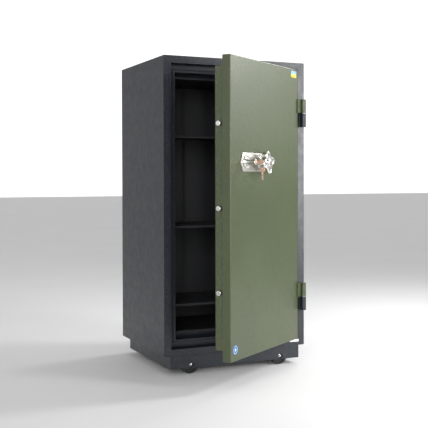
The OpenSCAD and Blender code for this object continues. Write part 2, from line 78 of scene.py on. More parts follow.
def loft(rings, cap=True, loop=False):
    """Joins rings of points, each with the same count, into one closed skin."""
    mesh = bmesh.new()
    rows = [[mesh.verts.new(point) for point in ring] for ring in rings]
    pairs = list(zip(rows, rows[1:]))
    if loop:
        pairs.append((rows[-1], rows[0]))
    for a, b in pairs:
        for i in range(len(a)):
            j = (i + 1) % len(a)
            mesh.faces.new((a[i], a[j], b[j], b[i]))
    if cap and not loop:
        mesh.faces.new(reversed(rows[0]))
        mesh.faces.new(rows[-1])
    bmesh.ops.recalc_face_normals(mesh, faces=mesh.faces)
    return mesh


def lathe(profile, centre, axis, steps=64):
    """Turns (radius, distance) points about an axis. A radius of 0 closes an end."""
    across = axis.orthogonal().normalized()
    up = axis.cross(across)
    mesh = bmesh.new()
    rows = []
    for radius, along in profile:
        middle = centre + axis * along
        if radius == 0:
            rows.append([mesh.verts.new(middle)])
            continue
        turn = [2 * pi * i / steps for i in range(steps)]
        rows.append([mesh.verts.new(middle + radius * (across * cos(t) + up * sin(t))) for t in turn])
    closed = profile[0][0] != 0
    pairs = list(zip(rows, rows[1:])) + ([(rows[-1], rows[0])] if closed else [])
    for a, b in pairs:
        for i in range(steps):
            j = (i + 1) % steps
            corners = [a[i % len(a)], a[j % len(a)], b[j % len(b)], b[i % len(b)]]
            mesh.faces.new(dict.fromkeys(corners))
    bmesh.ops.recalc_face_normals(mesh, faces=mesh.faces)
    return mesh


def arc(centre, radius, start, end, steps=5):
    """Points on an arc in a profile's own two directions, angles in degrees."""
    turn = [radians(start + (end - start) * i / steps) for i in range(steps + 1)]
    return [(centre[0] + radius * cos(t), centre[1] + radius * sin(t)) for t in turn]


def rounded_box(low, high, radius, segments=3):
    mesh = bmesh.new()
    bmesh.ops.create_cube(mesh, size=1)
    size = Vector(high) - Vector(low)
    bmesh.ops.scale(mesh, vec=size, verts=mesh.verts)
    bmesh.ops.translate(mesh, vec=(Vector(low) + Vector(high)) / 2, verts=mesh.verts)
    bmesh.ops.bevel(mesh, geom=mesh.edges[:], offset=radius, segments=segments, profile=0.5, affect="EDGES")
    return mesh


def prism(outline, place, depth, radius=0, segments=3):
    """Extrudes an outline by depth. place turns (across, depth, up) into a point."""
    rings = [[place(a, d, b) for a, b in outline] for d in (0, depth)]
    mesh = loft(rings)
    if radius:
        faces = [f for f in mesh.faces if len(f.verts) == len(outline)]
        edges = {e for f in faces for e in f.edges}
        bmesh.ops.bevel(mesh, geom=list(edges), offset=radius, segments=segments, profile=0.5, affect="EDGES")
    return mesh


def join(*meshes):
    """Puts several closed skins into one mesh."""
    whole = bmesh.new()
    for part in meshes:
        data = bpy.data.meshes.new("part")
        part.to_mesh(data)
        part.free()
        whole.from_mesh(data)
        bpy.data.meshes.remove(data)
    return whole


def plain_object(mesh, name):
    data = bpy.data.meshes.new(name)
    mesh.to_mesh(data)
    mesh.free()
    obj = bpy.data.objects.new(name, data)
    bpy.context.scene.collection.objects.link(obj)
    return obj


def carve(solid, *cutters):
    """Cuts solids out of a closed mesh and gives back the result."""
    base = plain_object(solid, "carved")
    tools = [plain_object(cutter, "cutter") for cutter in cutters]
    for tool in tools:
        cut = base.modifiers.new("cut", "BOOLEAN")
        cut.object = tool
        cut.solver = "EXACT"
    bpy.context.view_layer.update()
    result = bpy.data.meshes.new_from_object(base.evaluated_get(bpy.context.evaluated_depsgraph_get()))
    mesh = bmesh.new()
    mesh.from_mesh(result)
    for obj in [base, *tools]:
        data = obj.data
        bpy.data.objects.remove(obj)
        bpy.data.meshes.remove(data)
    bpy.data.meshes.remove(result)
    bmesh.ops.dissolve_limit(mesh, angle_limit=radians(0.1), verts=mesh.verts, edges=mesh.edges)
    return mesh


def piece(name, mesh, material, body, stands_for=(), on_door=False, crease=34):
    """Makes one finished piece of the visual model and hangs it on its CAD body."""
    obj = plain_object(mesh, name)
    if on_door:
        obj.data.transform(SWING)
    obj.data.materials.append(material)
    obj.data.polygons.foreach_set("use_smooth", [True] * len(obj.data.polygons))
    obj.data.set_sharp_from_angle(angle=radians(crease))
    normals = obj.modifiers.new("normals", "WEIGHTED_NORMAL")
    normals.keep_sharp = True
    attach(obj, body)
    if stands_for:
        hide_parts(*stands_for)
    return obj


# ---- Materials ----

def new_material(name):
    material = bpy.data.materials.new(name)
    material.use_nodes = True
    tree = material.node_tree
    return material, tree.nodes, tree.links, tree.nodes["Principled BSDF"]


def noise(nodes, links, scale, detail=3, roughness=0.5):
    """Noise in the part's own metres, so that it keeps its size on every piece."""
    where = nodes.new("ShaderNodeTexCoord")
    texture = nodes.new("ShaderNodeTexNoise")
    texture.inputs["Scale"].default_value = scale
    texture.inputs["Detail"].default_value = detail
    texture.inputs["Roughness"].default_value = roughness
    links.new(where.outputs["Object"], texture.inputs["Vector"])
    return texture.outputs["Fac"]


def ramp(nodes, links, fac, stops):
    """Maps a factor to colours or greys, given as (position, colour) stops."""
    band = nodes.new("ShaderNodeValToRGB")
    while len(band.color_ramp.elements) < len(stops):
        band.color_ramp.elements.new(0.5)
    for element, (position, colour) in zip(band.color_ramp.elements, stops):
        element.position = position
        element.color = (*colour, 1) if len(colour) == 3 else (colour[0],) * 3 + (1,)
    links.new(fac, band.inputs["Fac"])
    return band.outputs["Color"]


def bump(nodes, links, height, distance, strength, shader, before=None):
    node = nodes.new("ShaderNodeBump")
    node.inputs["Distance"].default_value = distance
    node.inputs["Strength"].default_value = strength
    links.new(height, node.inputs["Height"])
    if before is not None:
        links.new(before, node.inputs["Normal"])
    links.new(node.outputs["Normal"], shader.inputs["Normal"])
    return node.outputs["Normal"]


def worn_colour(nodes, links, base, edge, wear):
    """Lets a rubbed colour show where an edge stands proud, broken up by noise."""
    shape = nodes.new("ShaderNodeNewGeometry")
    proud = ramp(nodes, links, shape.outputs["Pointiness"], [(0.53, (0,)), (0.60, (1,))])
    broken = ramp(nodes, links, noise(nodes, links, 90, 5, 0.7), [(0.48, (0,)), (0.62, (wear,))])
    both = nodes.new("ShaderNodeMath")
    both.operation = "MULTIPLY"
    links.new(proud, both.inputs[0])
    links.new(broken, both.inputs[1])
    mix = nodes.new("ShaderNodeMix")
    mix.data_type = "RGBA"
    links.new(both.outputs[0], mix.inputs["Factor"])
    links.new(base, mix.inputs["A"])
    mix.inputs["B"].default_value = (*edge, 1)
    return mix.outputs["Result"]


def paint(name, dark, light, edge, roughness, hammer, fleck=0.25, wear=0.5):
    """Smooth or hammered enamel on sheet steel. hammer is the (scale, strength) of the film's cells."""
    material, nodes, links, shader = new_material(name)
    patches = ramp(nodes, links, noise(nodes, links, 3.5, 4, 0.55), [(0.3, dark), (0.7, light)])
    links.new(worn_colour(nodes, links, patches, edge, wear), shader.inputs["Base Color"])
    gloss = ramp(nodes, links, noise(nodes, links, 28, 4, 0.6),
                 [(0.3, (roughness - 0.05,)), (0.7, (roughness + 0.07,))])
    links.new(gloss, shader.inputs["Roughness"])
    fine = bump(nodes, links, noise(nodes, links, 900, 3, 0.6), 0.0002, fleck, shader)
    cell_scale, strength = hammer
    bump(nodes, links, noise(nodes, links, cell_scale, 2, 0.45), 0.002, strength, shader, fine)
    return material


def bright_metal(name, light, dark, roughness, grain=0.06, stretch=(1, 1, 1)):
    """Plated or bare metal: faint smears in colour and gloss, and fine scratches."""
    material, nodes, links, shader = new_material(name)
    links.new(ramp(nodes, links, noise(nodes, links, 14, 4, 0.6), [(0.25, dark), (0.75, light)]),
              shader.inputs["Base Color"])
    shader.inputs["Metallic"].default_value = 1
    where = nodes.new("ShaderNodeTexCoord")
    mapping = nodes.new("ShaderNodeMapping")
    mapping.inputs["Scale"].default_value = stretch
    links.new(where.outputs["Object"], mapping.inputs["Vector"])
    scratches = nodes.new("ShaderNodeTexNoise")
    scratches.inputs["Scale"].default_value = 260
    scratches.inputs["Detail"].default_value = 5
    links.new(mapping.outputs["Vector"], scratches.inputs["Vector"])
    gloss = ramp(nodes, links, scratches.outputs["Fac"],
                 [(0.3, (roughness * 0.85,)), (0.75, (roughness * 1.2,))])
    links.new(gloss, shader.inputs["Roughness"])
    bump(nodes, links, scratches.outputs["Fac"], 0.0002, grain, shader)
    return material


def moulded(name, dark, light, roughness, grain, strength):
    """Rubber, plastic or board: a mottled colour and a fine moulded grain."""
    material, nodes, links, shader = new_material(name)
    links.new(ramp(nodes, links, noise(nodes, links, 22, 4, 0.6), [(0.3, dark), (0.7, light)]),
              shader.inputs["Base Color"])
    gloss = ramp(nodes, links, noise(nodes, links, 60, 3, 0.6),
                 [(0.3, (roughness - 0.06,)), (0.7, (roughness + 0.06,))])
    links.new(gloss, shader.inputs["Roughness"])
    bump(nodes, links, noise(nodes, links, grain, 4, 0.6), 0.0004, strength, shader)
    return material


def two_tone(name, lower, upper, level, band=0.0006):
    """A printed label without any print: one colour below a level, another above it."""
    material, nodes, links, shader = new_material(name)
    where = nodes.new("ShaderNodeTexCoord")
    split = nodes.new("ShaderNodeSeparateXYZ")
    links.new(where.outputs["Object"], split.inputs["Vector"])
    rise = nodes.new("ShaderNodeMapRange")
    rise.inputs["From Min"].default_value = level - band
    rise.inputs["From Max"].default_value = level + band
    links.new(split.outputs["Z"], rise.inputs["Value"])
    tones = ramp(nodes, links, rise.outputs["Result"], [(0.0, lower), (1.0, upper)])
    scuffs = nodes.new("ShaderNodeMix")
    scuffs.data_type = "RGBA"
    scuffs.blend_type = "MULTIPLY"
    scuffs.inputs["Factor"].default_value = 0.35
    links.new(tones, scuffs.inputs["A"])
    links.new(ramp(nodes, links, noise(nodes, links, 120, 4, 0.6), [(0.3, (0.7,)), (0.6, (1,))]),
              scuffs.inputs["B"])
    links.new(scuffs.outputs["Result"], shader.inputs["Base Color"])
    shader.inputs["Roughness"].default_value = 0.3
    bump(nodes, links, noise(nodes, links, 500, 2), 0.0002, 0.1, shader)
    return material


GRAPHITE = paint("graphite_enamel", (0.0095, 0.0130, 0.0185), (0.0120, 0.0160, 0.0222), (0.07, 0.075, 0.085),
                 0.36, (820, 0.03), fleck=0.06, wear=0.3)
LINER = paint("liner_enamel", (0.0140, 0.0145, 0.0170), (0.0190, 0.0197, 0.0230), (0.07, 0.07, 0.08),
              0.46, (700, 0.03), fleck=0.06, wear=0.25)
GREEN = paint("green_hammered_enamel", (0.052, 0.068, 0.030), (0.061, 0.079, 0.035), (0.22, 0.25, 0.18),
              0.33, (145, 0.48), fleck=0.08, wear=0.35)
CHROME = bright_metal("chrome_plate", (0.74, 0.73, 0.70), (0.66, 0.65, 0.62), 0.20)
SATIN = bright_metal("satin_chrome", (0.60, 0.59, 0.55), (0.53, 0.52, 0.48), 0.36, 0.02)
STEEL = bright_metal("zinc_steel", (0.55, 0.56, 0.57), (0.42, 0.43, 0.44), 0.34, 0.12, (1, 1, 6))
BRASS = bright_metal("copper_brass", (0.80, 0.52, 0.40), (0.62, 0.37, 0.27), 0.26, 0.10)
SEAL = moulded("seal_strip", (0.014, 0.014, 0.016), (0.024, 0.024, 0.026), 0.72, 700, 0.2)
TYRE = moulded("roller_polyamide", (0.0030, 0.0030, 0.0034), (0.0060, 0.0060, 0.0064), 0.50, 500, 0.15)
FILLING = moulded("fire_filling", (0.50, 0.48, 0.43), (0.62, 0.60, 0.55), 0.9, 160, 0.6)
BADGE = bright_metal("badge_aluminium", (0.80, 0.80, 0.80), (0.68, 0.68, 0.69), 0.28, 0.06, (8, 1, 1))

SLOT_MATERIAL = {
    "graphite": GRAPHITE, "liner_black": LINER, "door_green": GREEN, "chrome": CHROME, "steel": STEEL,
    "brass": BRASS, "seal_rubber": SEAL, "roller_black": TYRE, "fire_filling": FILLING,
    "badge_silver": BADGE,
}


def dress_cad_nodes():
    """Gives every CAD node that stays its slot's material."""
    for part in frame["record"]["subparts"]:
        material = SLOT_MATERIAL.get(part["material_slot"])
        if material is None:
            continue
        for slot in frame["nodes"][part["node"]].material_slots:
            slot.material = material


# ---- Casing ----

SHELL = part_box("outer_shell")
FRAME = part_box("front_frame")
FRONT = SHELL[0].y
SHEET = 2.5 * MM
PLATE = 3 * MM

LEAF = closed_box("door_leaf")
GAP = 3 * MM

# Distances in from the casing's outside, as (sides, top, bottom)
RIM = (LEAF[0].x - SHELL[0].x - GAP, SHELL[1].z - LEAF[1].z - GAP, LEAF[0].z - SHELL[0].z - GAP)
LEDGE = (40 * MM, 38 * MM, 35 * MM)
TUNNEL = tuple(r + w for r, w in zip(RIM, LEDGE))

# The steps behind the front, the tunnel's lip and the seal in its groove
LIP = 10 * MM
RECESS = 49 * MM
TUNNEL_END = FRAME[1].y - FRONT - PLATE
SEAL_IN = 22 * MM
SEAL_WIDTH = 6 * MM

# Radius of a bore that clears a shaft 16 mm across
SHAFT_BORE = 8.05 * MM


def around(base, inset, depth):
    """Four corners of a frame line, inset from a base line and at a depth behind the front."""
    side, top, bottom = (b + inset for b in base)
    x0, x1 = SHELL[0].x + side, SHELL[1].x - side
    z0, z1 = SHELL[0].z + bottom, SHELL[1].z - top
    y = FRONT + depth
    return [Vector((x0, y, z0)), Vector((x1, y, z0)), Vector((x1, y, z1)), Vector((x0, y, z1))]


def round_rectangle(x, z, radius, y, steps=5):
    """A rectangle's outline with round corners, in the plane of the front."""
    corners = [(x[1] - radius, z[0] + radius, -90), (x[1] - radius, z[1] - radius, 0),
               (x[0] + radius, z[1] - radius, 90), (x[0] + radius, z[0] + radius, 180)]
    return [Vector((a, y, b)) for cx, cz, start in corners
            for a, b in arc((cx, cz), radius, start, start + 90, steps)]


def make_casing():
    """The casing's wrap of sheet steel, with folded long edges and softened ends."""
    fold, soft = 4 * MM, 0.8 * MM
    x, z = (SHELL[0].x, SHELL[1].x), (SHELL[0].z, SHELL[1].z)
    inner_x, inner_z = (x[0] + SHEET, x[1] - SHEET), (z[0] + SHEET, z[1] - SHEET)
    front, back = SHELL[0].y, SHELL[1].y
    inside = [(a + soft, b - soft) for a, b in (x, z)]
    rings = [
        round_rectangle(x, z, fold, front + soft),
        round_rectangle(*inside, fold - soft, front),
        round_rectangle(inner_x, inner_z, 1.6 * MM, front),
        round_rectangle(inner_x, inner_z, 1.6 * MM, back),
        round_rectangle(*inside, fold - soft, back),
        round_rectangle(x, z, fold, back - soft),
    ]
    piece("casing_wrap", loft(rings, loop=True), GRAPHITE, "casing", ["outer_shell"])


def frame_section():
    """The door frame's folded section, from the rim back to the lip, as (base line, inset, depth)."""
    fold = 2.2 * MM
    section = [(RIM, a, d) for a, d in arc((-fold, fold), fold, -90, 0)]
    section += [(RIM, a, RECESS + d) for a, d in arc((fold, -fold), fold, 180, 90)]
    groove = [(SEAL_IN, 0), (SEAL_IN, 6 * MM), (SEAL_IN + SEAL_WIDTH, 6 * MM), (SEAL_IN + SEAL_WIDTH, 0)]
    section += [(RIM, a, RECESS + d) for a, d in groove]
    section += [(TUNNEL, a, RECESS + d) for a, d in arc((-fold, fold), fold, -90, 0)]
    section += [(TUNNEL, a, TUNNEL_END + d) for a, d in arc((fold, -fold), fold, 180, 90)]
    section += [(TUNNEL, LIP + a, TUNNEL_END + d) for a, d in arc((-1.4 * MM, 1.4 * MM), 1.4 * MM, -90, 0)]
    back = TUNNEL_END + PLATE
    section += [(TUNNEL, LIP, back), (TUNNEL, -PLATE, back), (TUNNEL, -PLATE, RECESS + PLATE)]
    trough = RECESS + 8 * MM
    trough_in, trough_out = SEAL_IN - 2 * MM, SEAL_IN + SEAL_WIDTH + 2 * MM
    section += [(RIM, trough_out, RECESS + PLATE), (RIM, trough_out, trough),
                (RIM, trough_in, trough), (RIM, trough_in, RECESS + PLATE)]
    section += [(RIM, -PLATE, RECESS + PLATE), (RIM, -PLATE, PLATE)]
    section += [((SHEET,) * 3, 0, PLATE), ((SHEET,) * 3, 0, 0)]
    return section


BOLTS = closed_box("locking_bolts")
BOLT_RADIUS = (BOLTS[1].y - BOLTS[0].y) / 2
BOLT_DEPTH = centre_of(BOLTS).y
MIDDLE_BOLT = SHELL[0].z + 695 * MM
BOLT_HEIGHTS = [BOLTS[0].z + BOLT_RADIUS, MIDDLE_BOLT, BOLTS[1].z - BOLT_RADIUS]
HOLE_RADIUS = BOLT_RADIUS + 2 * MM


def bored(radius, x, y, z):
    """A round cutter along X."""
    length = x[1] - x[0]
    return lathe([(0, 0), (radius, 0), (radius, length), (0, length)], Vector((x[0], y, z)), EAST, 48)


def make_frame():
    """The stepped door frame, with round bolt holes on the left and slots for the fixed bars."""
    mesh = loft([around(*point) for point in frame_section()], loop=True)
    left, right = SHELL[0].x + TUNNEL[0], SHELL[1].x - TUNNEL[0]
    slot_front, slot_back, half_slot = FRONT + 66 * MM, FRONT + 105 * MM, 15 * MM
    cutters = []
    for z in BOLT_HEIGHTS:
        cutters.append(bored(HOLE_RADIUS, (left - 2 * PLATE, left + PLATE), BOLT_DEPTH, z))
        cutters.append(rounded_box((right - PLATE, slot_front, z - half_slot),
                                   (right + 2 * PLATE, slot_back, z + half_slot), 2 * MM))
    piece("stepped_frame", carve(mesh, *cutters), GRAPHITE, "casing", ["front_frame"])


def make_seal():
    """A crowned intumescent strip lying in the ledge's groove."""
    half = SEAL_WIDTH / 2 - 0.2 * MM
    middle = SEAL_IN + SEAL_WIDTH / 2
    section = [(RIM, middle + a, RECESS + 3.4 * MM - d) for a, d in arc((0, 0), half, 0, 180, 8)]
    section += [(RIM, middle - half, RECESS + 5.8 * MM), (RIM, middle + half, RECESS + 5.8 * MM)]
    piece("seal_bead", loft([around(*point) for point in section], loop=True), SEAL, "casing",
          ["frame_seal"])


def make_shelf(node):
    """A folded tray: flat top and a lip turned down with a soft bend, front and rear."""
    low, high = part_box(node)
    bend, sheet = 2.2 * MM, 1.5 * MM
    top, y0, y1, foot = high.z, low.y, high.y, low.z
    outer = [(y0, foot)] + [(y0 + bend - bend * cos(t), top - bend + bend * sin(t))
                            for t in (0, pi / 8, pi / 4, 3 * pi / 8, pi / 2)]
    outer += [(y1 - bend + bend * sin(t), top - bend + bend * cos(t))
              for t in (0, pi / 8, pi / 4, 3 * pi / 8, pi / 2)] + [(y1, foot)]
    inner = [(y1 - sheet, foot), (y1 - sheet, top - bend), (y1 - bend, top - sheet),
             (y0 + bend, top - sheet), (y0 + sheet, top - bend), (y0 + sheet, foot)]
    rings = [[Vector((x, y, z)) for y, z in outer + inner] for x in (low.x, high.x)]
    piece(node + "_tray", loft(rings), LINER, "casing", [node])


def make_badge():
    low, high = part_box("body_badge")
    mesh = rounded_box(low, high, 0.5 * MM)
    piece("blank_badge", mesh, BADGE, "casing", ["body_badge"])


# ---- Base ----

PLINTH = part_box("plinth")
ROLLERS = ["roller_front_left", "roller_front_right", "roller_rear_left", "roller_rear_right"]


def make_plinth():
    """The welded plinth, with rounded upright corners and holes for the axle heads."""
    hole = 14 * MM
    x, y = (PLINTH[0].x, PLINTH[1].x), (PLINTH[0].y, PLINTH[1].y)
    z0, z1 = PLINTH[0].z, PLINTH[1].z

    def level(inset, z, radius=3 * MM):
        flat = round_rectangle((x[0] + inset, x[1] - inset), (y[0] + inset, y[1] - inset), radius, 0)
        return [Vector((p.x, p.z, z)) for p in flat]

    soft = 0.7 * MM
    rings = [level(0, z1), level(0, z0 + soft), level(soft, z0), level(PLATE, z0, 1 * MM),
             level(PLATE, z1, 1 * MM)]
    cutters = []
    for name in ROLLERS:
        hub = centre_of(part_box(name))
        face = y[0] if hub.y < sum(y) / 2 else y[1]
        start = Vector((hub.x, face - 6 * MM, hub.z))
        cutters.append(lathe([(0, 0), (hole, 0), (hole, 12 * MM), (0, 12 * MM)], start, NORTH, 40))
    piece("plinth_band", carve(loft(rings, loop=True), *cutters), GRAPHITE, "casing", ["plinth"])


def make_rollers():
    """Solid rollers: rounded tread, a step at the rim, a sunk web and a boss round the bore."""
    for name in ROLLERS:
        low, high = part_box(name)
        radius, width = (high.z - low.z) / 2, high.y - low.y
        bore, boss, rim_r = SHAFT_BORE, 14 * MM, radius - 9 * MM
        face = arc((radius - 3 * MM, 3 * MM), 3 * MM, 0, -90, 4)
        half = [(bore, 0.5 * MM), (bore + 0.5 * MM, 0), (boss - 1 * MM, 0), (boss, 1 * MM), (boss, 5 * MM),
                (rim_r, 5 * MM), (rim_r, 0.8 * MM), (rim_r + 0.8 * MM, 0)] + face[::-1]
        groove = [(radius, width / 2 - 2 * MM), (radius - 0.7 * MM, width / 2 - 1 * MM)]
        mirrored = [(r, width - d) for r, d in reversed(half + groove)]
        start = Vector((centre_of((low, high)).x, low.y, centre_of((low, high)).z))
        piece(name + "_wheel", lathe(half + groove + mirrored, start, NORTH, 96), TYRE, name,
              [name])


def make_axles():
    """Axle bolts: a small flat-domed head sunk in the plinth's hole, a shank, and a chamfered end."""
    meshes = []
    head, shank, length = 5 * MM, 8 * MM, 56 * MM
    for name in ROLLERS:
        hub = centre_of(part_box(name))
        at_front = hub.y < centre_of(PLINTH).y
        inward = NORTH if at_front else -NORTH
        face = Vector((hub.x, PLINTH[0].y if at_front else PLINTH[1].y, hub.z))
        profile = [(0, 1.2 * MM), (3 * MM, 1.3 * MM), (4.2 * MM, 1.7 * MM), (head, 3 * MM),
                   (head, 6 * MM), (shank - 1 * MM, 6.5 * MM), (shank, 8 * MM),
                   (shank, length - 1 * MM), (shank - 1 * MM, length), (0, length)]
        meshes.append(lathe(profile, face, inward, 48))
    piece("axle_bolts", join(*meshes), CHROME, "casing", ["roller_axles"])


# ---- Hinges ----

def barrel(z0, z1, radius):
    """A hinge barrel with chamfered ends and a shallow turned groove near each."""
    edge, groove = 1.4 * MM, 0.5 * MM
    profile = [(0, 0), (radius - edge, 0), (radius, edge)]
    length = z1 - z0
    for at in (7 * MM, length - 8.2 * MM):
        profile += [(radius, at), (radius - groove, at + 0.3 * MM),
                    (radius - groove, at + 0.9 * MM), (radius, at + 1.2 * MM)]
    profile += [(radius, length - edge), (radius - edge, length), (0, length)]
    return lathe(profile, Vector((PIN.x, PIN.y, z0)), UP, 64)


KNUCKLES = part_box("body_knuckles")
KNUCKLE_HEIGHT = 67 * MM
KNUCKLE_RADIUS = 12 * MM
HINGE_LEVELS = [KNUCKLES[0].z, KNUCKLES[1].z - KNUCKLE_HEIGHT]


def make_body_knuckles():
    """The casing's barrels, each with a web behind it and a pad on the casing's rim."""
    meshes = []
    for z0 in HINGE_LEVELS:
        z1 = z0 + KNUCKLE_HEIGHT
        meshes.append(barrel(z0, z1, KNUCKLE_RADIUS))
        web = rounded_box((PIN.x - 8 * MM, PIN.y, z0 + 1 * MM),
                          (PIN.x + 8 * MM, FRONT, z1 - 1 * MM), 1.5 * MM)
        pad = rounded_box((PIN.x - 17 * MM, FRONT - 6 * MM, z0), (PIN.x + 12 * MM, FRONT, z1), 1.5 * MM)
        meshes += [web, pad]
    piece("lower_knuckles", join(*meshes), GRAPHITE, "casing", ["body_knuckles"])


def make_door_knuckles():
    """The door's barrels and straps, hollow over the pin's end so that they clear it."""
    meshes = []
    box = closed_box("door_knuckles")
    bore, deep = 7.05 * MM, 60 * MM
    strap_end, face = LEAF[1].x - 12 * MM, LEAF[0].y
    for z0 in (box[0].z, box[1].z - KNUCKLE_HEIGHT):
        z1 = z0 + KNUCKLE_HEIGHT
        pin_hole = lathe([(0, -1 * MM), (bore, -1 * MM), (bore, deep), (0, deep)],
                         Vector((PIN.x, PIN.y, z0)), UP, 48)
        strap = rounded_box((strap_end, PIN.y + 9 * MM, z0), (PIN.x - 8 * MM, face - 1.5 * MM, z1), 1.2 * MM)
        foot = rounded_box((strap_end, face - 3 * MM, z0), (LEAF[1].x, face, z1), 0.8 * MM)
        meshes += [carve(barrel(z0, z1, KNUCKLE_RADIUS), pin_hole), strap, foot]
    piece("upper_knuckles", join(*meshes), GREEN, "door", ["door_knuckles"], on_door=True)


# ---- Door ----

PLUG = closed_box("door_plug")
COVER = closed_box("plug_cover")
SCREWS = closed_box("cover_screws")


def make_leaf():
    """The door leaf: a folded pan with soft edges and a seam line round its rear flange."""
    low, high = LEAF
    slab = rounded_box(low, high, 4 * MM, 4)
    seam_in, seam = 20 * MM, 1.2 * MM
    y = (high.y - 0.8 * MM, high.y + 1 * MM)

    def band(inset, depth):
        return [Vector((a, depth, b)) for a, b in (
            (low.x + inset, low.z + inset), (high.x - inset, low.z + inset),
            (high.x - inset, high.z - inset), (low.x + inset, high.z - inset))]

    groove = loft([band(seam_in, y[0]), band(seam_in, y[1]), band(seam_in + seam, y[1]),
                   band(seam_in + seam, y[0])], loop=True)
    piece("leaf_pan", carve(slab, groove), GREEN, "door", ["door_leaf"], on_door=True)


def make_plug():
    """The hollow plug behind the leaf, with its bolt holes, and the screwed cover on its back."""
    low, high = PLUG
    shell = rounded_box(low, high, 2 * MM)
    wall = Vector((PLATE, PLATE, PLATE))
    room = rounded_box(low + wall, high - wall, 1 * MM)
    flange, past = 26 * MM, 6 * MM
    mouth = rounded_box((low.x + flange, low.y - past, low.z + flange),
                        (high.x - flange, high.y + past, high.z - flange), 2 * MM)
    cutters = [room, mouth]
    for z in BOLT_HEIGHTS:
        cutters.append(bored(HOLE_RADIUS, (low.x - PLATE, low.x + 2 * PLATE), BOLT_DEPTH, z))
        cutters.append(bored(BOLT_RADIUS + 0.1 * MM, (high.x - 2 * PLATE, high.x + PLATE), BOLT_DEPTH, z))
    piece("plug_box", carve(shell, *cutters), GREEN, "door", ["door_plug"], on_door=True)
    cover = rounded_box(*COVER, 0.9 * MM)
    piece("plug_back", cover, GREEN, "door", ["plug_cover"], on_door=True)


def make_cover_screws():
    """Pan head screws with a crossed recess."""
    radius, height = 4 * MM, 1.8 * MM
    xs = (SCREWS[0].x + radius, SCREWS[1].x - radius)
    zs = [SCREWS[0].z + radius + i * (SCREWS[1].z - SCREWS[0].z - 2 * radius) / 3 for i in range(4)]
    meshes = []
    for x in xs:
        for z in zs:
            top = Vector((x, SCREWS[1].y, z))
            profile = [(0, 0), (2.2 * MM, 0.1 * MM), (3.4 * MM, 0.6 * MM), (radius, height - 0.3 * MM),
                       (radius, height), (2 * MM, height), (2 * MM, 8 * MM), (0, 8 * MM)]
            head = lathe(profile, top, -NORTH, 32)
            arm, half = 2.2 * MM, 0.4 * MM
            tools = [rounded_box(top - Vector((a, 1.1 * MM, b)), top + Vector((a, 1 * MM, b)), 0.1 * MM, 1)
                     for a, b in ((arm, half), (half, arm))]
            meshes.append(carve(head, *tools))
    piece("pan_screws", join(*meshes), STEEL, "door", ["cover_screws"], on_door=True)


def make_bolts():
    """Round locking bolts with flat ends and well rounded edges."""
    soft = 3 * MM
    length = BOLTS[1].x - BOLTS[0].x
    profile = [(0, 0)] + arc((BOLT_RADIUS - soft, soft), soft, -90, 0, 6)
    profile += [(BOLT_RADIUS, length - 1 * MM), (BOLT_RADIUS - 1 * MM, length), (0, length)]
    meshes = [lathe(profile, Vector((BOLTS[0].x, BOLT_DEPTH, z)), EAST) for z in BOLT_HEIGHTS]
    piece("round_bolts", join(*meshes), CHROME, "bolt_carriage", ["locking_bolts"], on_door=True)


def make_labels():
    """Blank stand-ins for the two stickers on the door's face."""
    box = closed_box("door_label")
    level = centre_of(box).z
    tones = two_tone("label_yellow_blue", (0.68, 0.53, 0.03), (0.24, 0.39, 0.60), level)
    low, high = box
    outline = [(p.x, p.z) for p in round_rectangle((low.x, high.x), (low.z, high.z), 2 * MM, 0)]
    mesh = prism(outline, lambda a, d, b: Vector((a, high.y - d, b)), high.y - low.y, 0.25 * MM)
    piece("rating_label", mesh, tones, "door", ["door_label"], on_door=True)

    low, high = closed_box("round_label")
    middle = centre_of((low, high))
    radius = (high.z - low.z) / 2
    thick = high.y - low.y
    ring = moulded("label_blue_ink", (0.030, 0.125, 0.360), (0.045, 0.165, 0.440), 0.3, 400, 0.1)
    disc = lathe([(0, 0), (radius, 0), (radius, thick - 0.2 * MM), (radius - 0.3 * MM, thick), (0, thick)],
                 Vector((middle.x, high.y, middle.z)), -NORTH)
    piece("round_sticker", disc, ring, "door", ["round_label"], on_door=True)
    pale = moulded("label_pale_ink", (0.55, 0.64, 0.74), (0.70, 0.76, 0.82), 0.3, 400, 0.1)
    film, spot = 0.06 * MM, 0.28 * radius
    centre = [(0, 0), (spot, 0), (spot, film), (0, film)]
    inner, outer = 0.80 * radius, 0.88 * radius
    rim = [(inner, 0), (outer, 0), (outer, film), (inner, film), (inner, 0)]
    face = Vector((middle.x, low.y, middle.z))
    print_mesh = join(lathe(centre, face, -NORTH, 40), lathe(rim, face, -NORTH, 60))
    piece("round_sticker_print", print_mesh, pale, "door", [], on_door=True)


# ---- Escutcheon, lock and handle ----

PLATE_BOX = closed_box("escutcheon_plate")
KNOB = closed_box("handle_knob")
CYLINDER = closed_box("lock_cylinder")
LOCK_AXIS = centre_of(CYLINDER)
LOCK_RADIUS = (CYLINDER[1].z - CYLINDER[0].z) / 2
KNOB_AXIS = centre_of(KNOB)
FACE = LEAF[0].y
OUTWARD = -NORTH


